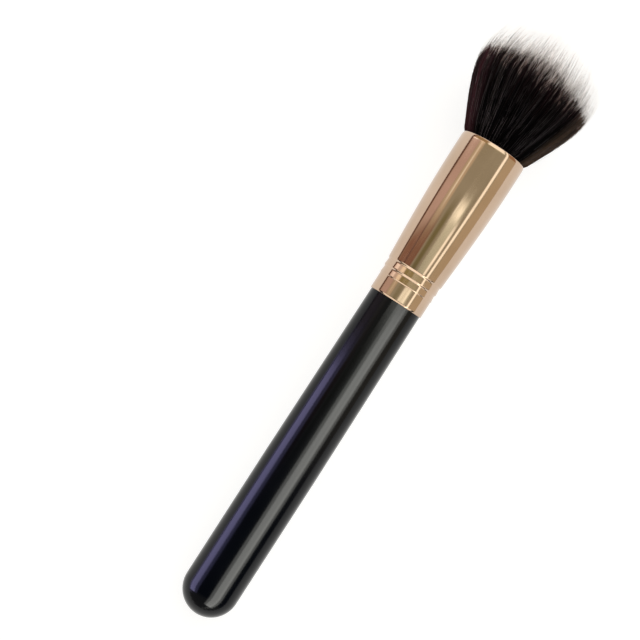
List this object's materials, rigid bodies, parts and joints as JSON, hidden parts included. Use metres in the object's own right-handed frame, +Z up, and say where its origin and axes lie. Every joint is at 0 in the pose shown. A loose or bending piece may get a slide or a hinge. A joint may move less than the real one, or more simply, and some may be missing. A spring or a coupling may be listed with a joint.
{
  "type": "makeup brush",
  "caption": "Round stippling makeup brush with a black lacquered handle, a crimped rose-gold ferrule and a flared head of dark hair with longer pale fibres.",
  "frame": {"origin": "centre of the bounding box at its base: the brush lies on its side on z = 0, on its round tail end and on the widest hair of its head", "axes": "+X along the brush from the tail end to the head, +Z up; the brush's own axis leans up towards the head by about 3.1 degrees, because the head is thicker than the handle"},
  "size_m": [0.1683, 0.0328, 0.0319],
  "materials": {
    "turned_wood": "sanded hardwood",
    "black_lacquer": "black satin-gloss lacquer",
    "rose_gold_metal": "polished, anodised rose gold",
    "clear_glue": "cured glue",
    "amber_resin": "cured epoxy resin",
    "binding_thread": "twisted polyester thread",
    "dark_hair": "black-brown hair with a faint purple and orange cast",
    "pale_fibre": "white synthetic fibre"
  },
  "bodies": {
    "root": {"handle_core": "turned_wood", "handle_lacquer": "black_lacquer", "ferrule": "rose_gold_metal", "tenon_glue": "clear_glue", "root_plug": "amber_resin", "root_binding": "binding_thread", "dark_hair": "dark_hair", "pale_fibres": "pale_fibre"}
  },
  "joints": []
}
